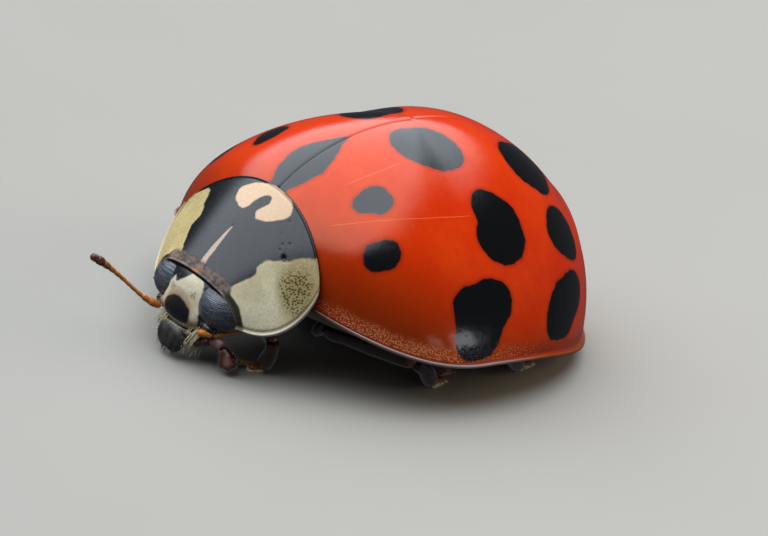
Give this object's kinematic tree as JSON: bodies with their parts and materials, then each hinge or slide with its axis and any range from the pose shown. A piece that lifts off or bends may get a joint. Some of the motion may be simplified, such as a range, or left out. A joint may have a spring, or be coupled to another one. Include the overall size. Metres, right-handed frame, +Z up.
{
  "type": "ladybird",
  "caption": "Harlequin ladybird with a domed pair of spotted wing cases, a black and cream pronotum, tucked head and bent legs, standing on its feet.",
  "frame": {"origin": "on the ground, below the middle of the whole insect with its stretched antenna", "axes": "+Z up, the head faces -Y, the insect's left side is +X"},
  "size_m": [0.0056, 0.0081, 0.0032],
  "materials": {
    "wing_case": "glossy orange-red shell with black spots",
    "pronotum_shell": "glossy cream shell with a black central mark",
    "black_shell": "glossy black shell",
    "face_shell": "satin cream and black face plate",
    "compound_eye": "dark faceted eye",
    "feeler": "translucent orange-brown",
    "palp": "shiny dark brown",
    "leg_shell": "shiny red-brown",
    "underside": "satin dark brown"
  },
  "bodies": {
    "root": {"elytron_left": "wing_case", "elytron_right": "wing_case", "scutellum": "black_shell", "pronotum": "pronotum_shell", "antenna_left": "feeler", "antenna_right": "feeler", "palp_left": "palp", "palp_right": "palp", "head": "face_shell", "labrum": "black_shell", "eye_left": "compound_eye", "eye_right": "compound_eye", "thorax": "underside", "abdomen": "underside", "prothorax": "underside", "fore_leg_left_femur": "leg_shell", "fore_leg_left_tibia": "leg_shell", "fore_leg_left_tarsus": "leg_shell", "fore_leg_right_femur": "leg_shell", "fore_leg_right_tibia": "leg_shell", "fore_leg_right_tarsus": "leg_shell", "mid_leg_left_femur": "leg_shell", "mid_leg_left_tibia": "leg_shell", "mid_leg_left_tarsus": "leg_shell", "mid_leg_right_femur": "leg_shell", "mid_leg_right_tibia": "leg_shell", "mid_leg_right_tarsus": "leg_shell", "hind_leg_left_femur": "leg_shell", "hind_leg_left_tibia": "leg_shell", "hind_leg_left_tarsus": "leg_shell", "hind_leg_right_femur": "leg_shell", "hind_leg_right_tibia": "leg_shell", "hind_leg_right_tarsus": "leg_shell"}
  },
  "joints": []
}
